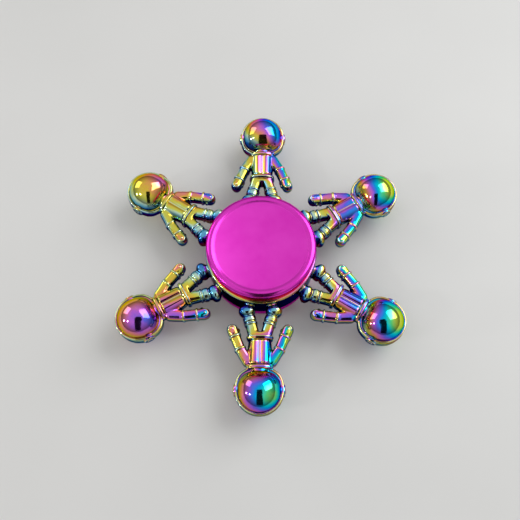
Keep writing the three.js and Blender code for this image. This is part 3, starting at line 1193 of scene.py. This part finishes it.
@dataclass(frozen=True)
class FrameSizes:
    """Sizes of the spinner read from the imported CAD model, in millimetres."""

    middle: float
    hub_radius: float
    hub_half_width: float
    crown: float
    cap_radius: float
    top: float

    @classmethod
    def read(cls) -> "FrameSizes":
        """Measures the CAD nodes.

        Returns:
            The sizes.
        """
        hub_low, hub_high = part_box("hub_ring")
        _, cap_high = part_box("upper_finger_cap")
        _, head_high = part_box("astronaut_2")
        middle = (hub_low.z + hub_high.z) / 2
        return cls(
            middle=middle / MM,
            hub_radius=hub_high.y / MM,
            hub_half_width=(hub_high.z - middle) / MM,
            crown=head_high.y / MM,
            cap_radius=cap_high.x / MM,
            top=(cap_high.z - middle) / MM,
        )


@dataclass
class Casting:
    """The plated casting: the hub ring and its astronauts."""

    sizes: FrameSizes
    finish: Material
    film: PlatingFilm
    figures: int = 6
    first_angle: float = 30.0
    mesh_step: float = 0.125
    figure_from: float = 12.0
    figure_margin: float = 0.5
    figure_reach: tuple[float, float] = (8.4, 5.7)
    ring_wall: float = 2.0
    ring_segments: int = 240
    groove_at: tuple = (0.55, 0.68, 0.86, 0.99)
    groove_depth: float = 0.12
    groove_round: float = 0.05
    bore_round: float = 0.15
    outer_round: float = 0.55
    rubbed_slant: float = 0.7
    rubbed_span: float = 0.3
    ring_wear: float = 0.5

    def build(self) -> None:
        """Makes the ring and the figures."""
        self.build_ring()
        self.build_figures()

    def dress(self, name: str, surface: Surface, edge: Array, aside: Array, angle: float) -> bpy.types.Object:
        """Makes a plated piece, with its film, its rubbed edges and its painted shade on the side walls
        stored on its vertices.

        Args:
            name: The piece's name.
            surface: Its surface, in place.
            edge: How far each vertex is on an outer edge, from 0 to 1.
            aside: How far each vertex is to one side of its figure's middle line.
            angle: The way the figure points.

        Returns:
            The piece.
        """
        film = self.film.thickness(surface.vertices, surface.normals, edge, aside, angle)
        # painted shade on the side walls, kept off the rubbed edges
        shade = self.film.shade(surface.normals) * (1 - edge)
        return make_piece(name, surface, self.finish, film=film, edge=edge, shade=shade)

    def build_ring(self) -> None:
        """The hub ring: a straight bore, rolled outer edges and a shallow groove round each face."""
        half, outer = self.sizes.hub_half_width, self.sizes.hub_radius
        inner = outer - self.ring_wall
        first, second, third, last = (inner + across for across in self.groove_at)
        floor = self.groove_depth - half
        lower = [(inner, 0), (inner, -half), (first, -half), (second, floor), (third, floor)]
        lower += [(last, -half), (outer, -half)]
        rounds = [0, self.bore_round, *[self.groove_round] * len(self.groove_at), self.outer_round]
        corners = [*lower, *((x, -y) for x, y in reversed(lower))]
        outline = rounded(corners, [*rounds, *reversed(rounds)])[:-1]
        surface = turned(outline, self.ring_segments, closed=True)
        surface = surface.moved(Matrix.Identity(3), self.sizes.middle)
        slant = np.abs(surface.normals[:, 2])
        edge = np.clip(1 - np.abs(slant - self.rubbed_slant) / self.rubbed_span, 0, 1) * self.ring_wear
        piece = self.dress("plated_hub_ring", surface, edge, np.zeros(len(slant)), 0.0)
        deliver(piece, "rotor", Slot.PLATING, "hub_ring")

    def build_figures(self) -> None:
        """The astronauts: one sculpted mesh, turned to each place, with the film that it gets there."""
        sculpt = AstronautSculpt(self.sizes.hub_radius, self.sizes.crown)
        reach = (self.sizes.crown + self.figure_margin, *self.figure_reach)
        mesher = FieldMesher(self.mesh_step, self.figure_from, reach)
        figure = mesher.build(sculpt)
        edge = mesher.sharpness(sculpt, figure.vertices)
        for number in range(self.figures):
            angle = math.radians(self.first_angle + 360 / self.figures * number)
            surface = figure.moved(Matrix.Rotation(angle, 3, "Z"), self.sizes.middle)
            piece = self.dress(f"plated_astronaut_{number + 1}", surface, edge, figure.vertices[:, 1], angle)
            deliver(piece, "rotor", Slot.PLATING, f"astronaut_{number + 1}")


@dataclass
class FingerCap:
    """One finger cap with its shoulder and its post."""

    sizes: FrameSizes
    finish: Material
    side: Side
    height: float = 3.0
    undercut: float = 0.55
    rim_depth: float = 0.95
    rim_width: float = 1.15
    roll: float = 1.0
    dish_width: float = 10.7
    dish_drop: float = 0.26
    dish_depth: float = 0.75
    dish_steps: int = 24
    shoulder_radius: float = 5.5
    shoulder_height: float = 0.38
    post_radius: float = 3.98
    post_end: float = 0.1
    chamfer: float = 0.2
    stud_radius: float = 2.5
    stud_reach: float = 3.1
    hole_radius: float = 2.6
    hole_depth: float = 3.8
    segments: int = 256

    def core(self) -> Profile:
        """The stud of the upper cap, or the hole of the lower one, from the axis outwards.

        Returns:
            Its outline.
        """
        if self.side is Side.UPPER:
            reach, radius = self.stud_reach, self.stud_radius
            corners = [(0, -reach), (radius - self.chamfer, -reach)]
            corners += [(radius, self.chamfer - reach), (radius, self.post_end)]
            return rounded(corners, [0, 0.08, 0.08, 0], 3)
        return [(0, self.hole_depth), (self.hole_radius, self.hole_depth), (self.hole_radius, self.post_end)]

    def outside(self) -> Profile:
        """The post, shoulder, underside, side wall, rim and dish.

        Returns:
            Its outline, going up and in to the axis.
        """
        underside = self.sizes.top - self.height
        shoulder_foot = underside - self.shoulder_height
        radius, top = self.sizes.cap_radius, self.sizes.top
        corners = [
            (self.post_radius - self.chamfer, self.post_end),
            (self.post_radius, self.post_end + self.chamfer),
            (self.post_radius, shoulder_foot),
            (self.shoulder_radius, shoulder_foot),
            (self.shoulder_radius, underside),
            (radius - self.undercut, underside),
            (radius, top - self.rim_depth),
        ]
        wall = rounded(corners, [0, 0.05, 0.05, 0.08, 0.08, 0.3, 0], 5)
        crest = radius - self.rim_width
        circle = arc(0, 0, 1, 0, 90, 18)[:-1]
        rim = [(crest + self.rim_width * x, top + self.rim_depth * (y - 1)) for x, y in circle]
        return [*wall[:-1], *rim, *self.dish(crest)]

    def dish(self, crest: float) -> Profile:
        """The rim's rolled inner side and the shallow dish, from the rim's crest in to the axis.

        Args:
            crest: The radius of the rim's highest line.

        Returns:
            Its outline.
        """
        points = []
        foot, steps = crest - self.roll, self.dish_steps
        for radius in (*np.linspace(crest, foot, steps), *np.linspace(foot, 0, steps)[1:]):
            share = min((crest - radius) / self.roll, 1)
            depth = self.dish_drop + self.dish_depth * max(1 - (radius / self.dish_width) ** 2, 0)
            points.append((float(radius), self.sizes.top - depth * share**2 * (3 - 2 * share)))
        return points

    def build(self) -> None:
        """Makes the cap on its side of the spinner."""
        surface = turned([*self.core(), *self.outside()], self.segments, closed=False)
        turn = Matrix.Identity(3) if self.side is Side.UPPER else Matrix.Rotation(math.pi, 3, "X")
        surface = surface.moved(turn, self.sizes.middle)
        side = self.side.name.lower()
        piece = make_piece(f"anodised_{side}_cap", surface, self.finish)
        deliver(piece, "grip", Slot.CAP, f"{side}_finger_cap")


class RollerTree(NodeTree):
    """A Geometry Nodes tree with named number inputs, built node by node."""

    def __init__(self, name: str) -> None:
        """Makes an empty tree with a geometry output.

        Args:
            name: The tree's name.
        """
        super().__init__(bpy.data.node_groups.new(name, "GeometryNodeTree"))
        self.tree.interface.new_socket("Geometry", in_out="OUTPUT", socket_type="NodeSocketGeometry")
        self.source = self.node("NodeGroupInput")
        self.identifiers: dict[str, str] = {}

    def feed(self, target: Socket, value: object) -> None:
        """Also takes the name of one of the tree's inputs as the value."""
        super().feed(target, self.source.outputs[value] if isinstance(value, str) else value)

    def number(self, name: str, kind: str = "NodeSocketFloat") -> str:
        """Adds a named input.

        Args:
            name: The input's name.
            kind: Its socket type.

        Returns:
            The name again.
        """
        item = self.tree.interface.new_socket(name, in_out="INPUT", socket_type=kind)
        self.identifiers[name] = item.identifier
        return name

    def finish(self, geometry: Socket, material: Material) -> None:
        """Ends the tree: smooth faces, real instances and the material.

        Args:
            geometry: What the tree has made.
            material: Its finish.
        """
        smooth = self.node("GeometryNodeSetShadeSmooth", {"Geometry": geometry})
        real = self.node("GeometryNodeRealizeInstances", {"Geometry": smooth.outputs[0]})
        dressed = self.node("GeometryNodeSetMaterial", {"Geometry": real.outputs[0], "Material": material})
        self.node("NodeGroupOutput", {0: dressed.outputs[0]})

    def grow(self, name: str, values: dict[str, object]) -> bpy.types.Object:
        """Runs the tree with the given inputs, and keeps its result as a plain mesh object at the origin.

        Args:
            name: The new object's name.
            values: The tree's inputs, by name.

        Returns:
            The new object.
        """
        holder = in_scene(f"{name}_holder", bpy.data.meshes.new(f"{name}_holder"))
        modifier = holder.modifiers.new("grow", "NODES")
        modifier.node_group = self.tree
        for key, value in values.items():
            modifier[self.identifiers[key]] = value
        evaluated = holder.evaluated_get(bpy.context.evaluated_depsgraph_get())
        mesh = bpy.data.meshes.new_from_object(evaluated)
        mesh.name = name
        bpy.data.objects.remove(holder)
        return in_scene(name, mesh)


@dataclass
class Bearing:
    """The ball bearing: two races, seven balls, the riveted cage and the two shields."""

    sizes: FrameSizes
    race: Material
    ball: Material
    cage: Material
    shield: Material
    balls: int = 7
    segments: int = 192
    groove_openness: float = 1.04
    groove_play: float = 0.04
    bore_radius: float = 4.0
    outer_play: float = 0.05
    land_drop: float = 0.75
    shield_step: float = 0.42
    seat_play: float = 0.01
    shield_gap: float = 0.3
    shield_lift: float = 0.07
    bead_at: tuple[float, float] = (1.1, 1.35)
    rivet_shank: float = 0.35
    rivet_head: float = 0.66
    rivet_sink: float = 0.2
    head_squash: float = 0.35

    def build(self) -> None:
        """Makes every piece of the bearing."""
        self.build_balls()
        self.build_races()
        self.build_shields()
        self.build_cage()

    def measure_ball(self) -> tuple[float, float]:
        """The balls' radius and their pitch radius, in millimetres."""
        low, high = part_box("bearing_ball_1")
        return (high.z - low.z) / 2 / MM, (high.x + low.x) / 2 / MM

    def build_balls(self) -> None:
        """Each ball is one run of a tree that puts a sphere on the pitch circle."""
        radius, pitch = self.measure_ball()
        roller = RollerTree("bearing_ball")
        ball_radius, place = roller.number("Radius"), roller.number("Place", "NodeSocketVector")
        sphere = roller.node("GeometryNodeMeshUVSphere", {"Segments": 48, "Rings": 24, "Radius": ball_radius})
        moved = {"Geometry": sphere.outputs["Mesh"], "Translation": place}
        placed = roller.node("GeometryNodeTransform", moved)
        roller.finish(placed.outputs[0], self.ball)
        for number in range(self.balls):
            angle = 2 * math.pi * number / self.balls
            place_m = (pitch * math.cos(angle) * MM, pitch * math.sin(angle) * MM, self.sizes.middle * MM)
            piece = roller.grow(f"steel_ball_{number + 1}", {"Radius": radius * MM, "Place": place_m})
            deliver(piece, f"ball_{number + 1}", Slot.BALL, f"bearing_ball_{number + 1}")

    def groove(self, land: float, facing: int) -> Profile:
        """The ball groove between two lands, going up; facing is 1 outwards and -1 inwards.

        Args:
            land: The land's radius.
            facing: 1 for a groove that faces outwards, -1 for one that faces inwards.

        Returns:
            The groove's outline.
        """
        ball, pitch = self.measure_ball()
        radius = ball * self.groove_openness
        bottom = pitch - facing * (ball + self.groove_play)
        centre = bottom + facing * radius
        half = math.degrees(math.acos(min(abs(centre - land) / radius, 1)))
        points = arc(0, 0, radius, -half, half, 16)
        return [(centre - facing * x, y) for x, y in points]

    def build_races(self) -> None:
        """The two ground rings, with chamfered corners, their grooves and the outer one's shield steps."""
        half = self.sizes.hub_half_width
        _, inner_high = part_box("bearing_inner_race")
        _, outer_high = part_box("bearing_outer_race")
        _, shield_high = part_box("upper_bearing_shield")
        bore, land = self.bore_radius, inner_high.x / MM
        inner_low_side = [(land, 0), (land, -half), (bore, -half), (bore, 0)]
        lower = rounded(inner_low_side, [0, 0.12, 0.3, 0], 4)[1:-1]
        upper = [(x, -y) for x, y in lower]
        ring = [*reversed(lower), *self.groove(land, 1), *upper]
        self.turn_ring("ground_inner_race", ring, self.race, Slot.RACE, "grip", "bearing_inner_race")
        outer, seat = outer_high.x / MM, shield_high.x / MM + self.seat_play
        ball, pitch = self.measure_ball()
        outer_land = pitch + ball + self.outer_play - self.land_drop
        step = half - self.shield_step
        low_side = [(outer_land, 0), (outer_land, -step), (seat, -step), (seat, -half)]
        low_side += [(outer, -half), (outer, 0)]
        lower = rounded(low_side, [0, 0.04, 0.04, 0.08, 0.3, 0], 4)
        upper = [(x, -y) for x, y in reversed(lower)]
        ring = [*lower[1:], *upper[1:-1], *reversed(self.groove(outer_land, -1))]
        self.turn_ring("ground_outer_race", ring, self.race, Slot.RACE, "rotor", "bearing_outer_race")

    def build_shields(self) -> None:
        """The two pressed shields, each with a shallow stiffening bead."""
        for side in ("upper", "lower"):
            low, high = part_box(f"{side}_bearing_shield")
            middle = (low.z + high.z) / 2 / MM - self.sizes.middle
            half = (high.z - low.z) / 2 / MM
            outer = high.x / MM
            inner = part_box("bearing_inner_race")[1].x / MM + self.shield_gap
            lift = self.shield_lift if side == "upper" else -self.shield_lift
            top, foot = (inner + across for across in self.bead_at)
            line = [(inner, lift), (top, lift), (foot, 0), (outer, 0)]
            under = [(x, middle + y - half) for x, y in line]
            over = [(x, middle + y + half) for x, y in reversed(line)]
            name, node = f"pressed_{side}_shield", f"{side}_bearing_shield"
            self.turn_ring(name, [*under, *over], self.shield, Slot.SHIELD, "rotor", node)

    def turn_ring(
        self, name: str, ring: Profile, material: Material, slot: Slot, body: str, node: str
    ) -> None:
        """Turns a closed profile into a ring about the spin axis and hands it over."""
        surface = turned(ring, self.segments, closed=True).moved(Matrix.Identity(3), self.sizes.middle)
        deliver(make_piece(name, surface, material), body, slot, node)

    def build_cage(self) -> None:
        """Dresses the two cage halves, and puts the rivets between the balls with one tree."""
        for side in ("upper", "lower"):
            half = bpy.data.objects[f"cage_{side}_half"]
            half.data.materials.clear()
            half.data.materials.append(self.cage)
        low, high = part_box("cage_rivet_1")
        _, pitch = self.measure_ball()
        height = (high.z - low.z) / 2 / MM
        tree = RollerTree("cage_rivets")
        names = ("Pitch radius", "Shank radius", "Head radius", "Height", "Middle")
        circle_radius, shank, head, reach, middle = (tree.number(name) for name in names)
        circle = tree.node("GeometryNodeMeshCircle", {"Vertices": self.balls, "Radius": circle_radius})
        depth = tree.node("ShaderNodeMath", {0: reach, 1: 2.0}, operation="MULTIPLY")
        body = {"Vertices": 20, "Radius": shank, "Depth": depth.outputs[0]}
        pin = tree.node("GeometryNodeMeshCylinder", body)
        ball = tree.node("GeometryNodeMeshUVSphere", {"Segments": 24, "Rings": 12, "Radius": head})
        lift = tree.node("ShaderNodeCombineXYZ", {"Z": reach})
        drop = tree.node("ShaderNodeVectorMath", {0: lift.outputs[0], "Scale": -1.0}, operation="SCALE")
        squash = (1.0, 1.0, self.head_squash)
        join = tree.node("GeometryNodeJoinGeometry")
        tree.join(pin.outputs["Mesh"], join.inputs[0])
        for place in (lift.outputs[0], drop.outputs[0]):
            cap = {"Geometry": ball.outputs["Mesh"], "Translation": place, "Scale": squash}
            tree.join(tree.node("GeometryNodeTransform", cap).outputs[0], join.inputs[0])
        spots = {"Points": circle.outputs["Mesh"], "Instance": join.outputs[0]}
        points = tree.node("GeometryNodeInstanceOnPoints", spots)
        up = tree.node("ShaderNodeCombineXYZ", {"Z": middle})
        half_step = (0.0, 0.0, math.pi / self.balls)
        ring = {"Geometry": points.outputs[0], "Translation": up.outputs[0], "Rotation": half_step}
        placed = tree.node("GeometryNodeTransform", ring)
        tree.finish(placed.outputs[0], self.cage)
        values = (pitch, self.rivet_shank, self.rivet_head, height - self.rivet_sink, self.sizes.middle)
        piece = tree.grow("cage_rivets", {name: value * MM for name, value in zip(names, values)})
        deliver(piece, "cage", Slot.CAGE, *[f"cage_rivet_{number + 1}" for number in range(self.balls)])


# ---------------------------------------- studio


@dataclass(frozen=True)
class SoftBox:
    """One soft lamp, square or round, aimed at the spinner."""

    name: str
    place: tuple[float, float, float]
    size: float
    power: float
    tint: Colour = (1.0, 1.0, 1.0)
    shape: str = "SQUARE"

    def build(self, target: Vector) -> None:
        """Hangs the lamp and turns it to the target.

        Args:
            target: The place that it faces, in metres.
        """
        light = bpy.data.lights.new(self.name, "AREA")
        light.shape = self.shape
        light.size = self.size
        light.energy = self.power
        light.color = self.tint
        lamp = in_scene(self.name, light)
        lamp.location = self.place
        lamp.rotation_euler = (target - Vector(self.place)).to_track_quat("-Z", "Y").to_euler()


@dataclass(frozen=True)
class BlackFlag:
    """A matt black board that shapes the reflections. It shows only in glossy surfaces."""

    name: str
    place: tuple[float, float, float]
    width: float
    height: float

    def build(self, target: Vector) -> None:
        """Hangs the board and turns its face to the target.

        Args:
            target: The place that it faces, in metres.
        """
        shader = Shader(self.name)
        shader.set(Base_Color=(0.012, 0.012, 0.014), Roughness=0.9, Specular_IOR_Level=0.1)
        board = flat_sheet(self.name, self.width, self.height, shader.material)
        board.location = self.place
        board.rotation_euler = (Vector(self.place) - target).to_track_quat("Z", "Y").to_euler()
        board.visible_camera = False
        board.visible_diffuse = False
        board.visible_shadow = False


@dataclass
class Studio:
    """Pale floor, soft lamps, black flags and the camera."""

    sizes: FrameSizes
    camera_distance: float = 143.0
    elevation: float = 69.09
    yaw: float = 1.4
    roll: float = -0.74
    aim: tuple[float, float] = (-0.235, -1.214)
    lens: float = 41.54
    sensor: float = 36.0
    floor_size: float = 1.6
    floor_gap: float = 0.02
    overhead: float = 0.68
    horizon: float = 0.2
    lamps: tuple = (
        SoftBox("window_right", (0.30, 0.17, 0.32), 0.36, 1.15, (0.97, 0.99, 1.0)),
        SoftBox("window_left", (-0.50, 0.30, 0.30), 0.34, 0.55, (1.0, 0.98, 0.96)),
        SoftBox("spot_left", (-0.40, -0.10, 0.14), 0.035, 0.12, shape="DISK"),
        SoftBox("spot_front", (-0.32, -0.16, 0.26), 0.035, 0.12, shape="DISK"),
    )
    flags: tuple = (
        BlackFlag("flag_camera", (0.004, -0.054, 0.148), 0.074, 0.062),
        BlackFlag("flag_front", (0.010, -0.210, 0.205), 0.150, 0.400),
    )

    def build(self) -> None:
        """Makes the whole studio."""
        self.build_floor()
        self.build_world()
        for piece in (*self.lamps, *self.flags):
            piece.build(Vector((0, 0, self.sizes.middle * MM)))
        self.build_camera()

    def build_floor(self) -> None:
        """A plain pale sheet just under the lower cap's rim."""
        shader = Shader("pale_floor")
        tone = shader.patches(size=60, detail=3, low=0, high=1)
        shader.set(
            Base_Color=shader.blend(tone, (0.66, 0.655, 0.64), (0.69, 0.685, 0.67)),
            Roughness=0.6,
            Normal=shader.bump(shader.noise(size=0.5, detail=3), depth=0.004),
        )
        floor = flat_sheet("floor", self.floor_size, self.floor_size, shader.material)
        floor.location.z = -self.floor_gap * MM

    def build_world(self) -> None:
        """A neutral surround, bright overhead and darker at the horizon, shown without tone compression."""
        world = bpy.data.worlds.new("surround")
        world.use_nodes = True
        tree = NodeTree(world.node_tree)
        place = tree.node("ShaderNodeTexCoord").outputs["Generated"]
        height = tree.node("ShaderNodeSeparateXYZ", {"Vector": place}).outputs["Z"]
        heights = {"Value": height, "From Min": 0.1, "From Max": 0.8}
        ramp = tree.node("ShaderNodeMapRange", {**heights, "To Min": self.horizon, "To Max": self.overhead})
        background = tree.tree.nodes["Background"]
        tree.feed(background.inputs["Strength"], ramp.outputs["Result"])
        tree.feed(background.inputs["Color"], (1, 1, 1, 1))
        bpy.context.scene.world = world
        bpy.context.scene.view_settings.view_transform = "Standard"

    def build_camera(self) -> None:
        """The camera, high in front of the spinner and slightly rolled."""
        elevation, yaw, roll = (math.radians(a) for a in (self.elevation, self.yaw, self.roll))
        level = math.cos(elevation)
        back = Vector((math.sin(yaw) * level, -math.cos(yaw) * level, math.sin(elevation)))
        flat_right = Vector((0, 0, 1)).cross(back).normalized()
        flat_up = back.cross(flat_right)
        right = math.cos(roll) * flat_right + math.sin(roll) * flat_up
        up = math.cos(roll) * flat_up - math.sin(roll) * flat_right
        place = Vector((*self.aim, self.sizes.middle)) + back * self.camera_distance
        data = bpy.data.cameras.new("camera")
        data.lens = self.lens
        data.sensor_width = self.sensor
        data.clip_start = 0.005
        camera = in_scene("camera", data)
        camera.matrix_world = Matrix.Translation(place * MM) @ Matrix((right, up, back)).transposed().to_4x4()
        bpy.context.scene.camera = camera


# ---------------------------------------- assembly


def main() -> None:
    """Loads the frame, then makes the studio, the casting, the caps and the bearing in order."""
    logging.basicConfig(level=logging.INFO, format="%(name)s: %(message)s")
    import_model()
    sizes = FrameSizes.read()
    Studio(sizes).build()
    Casting(sizes, PlatedFinish().build(), PlatingFilm()).build()
    anodised = AnodisedFinish(dish_edge=FingerCap.dish_width).build()
    for side in Side:
        FingerCap(sizes, anodised, side).build()
    race = SteelFinish("ground_race_steel", (0.58, 0.59, 0.61), 0.16, ring_pitch=0.09).build()
    ball = SteelFinish("lapped_ball_steel", (0.70, 0.71, 0.73), 0.05, grain=0.05).build()
    cage = SteelFinish("pressed_strip_steel", (0.46, 0.46, 0.44), 0.36).build()
    shield = SteelFinish("pressed_shield_steel", (0.52, 0.53, 0.54), 0.26, ring_pitch=0.14).build()
    Bearing(sizes, race, ball, cage, shield).build()


if __name__ == "__main__":
    main()
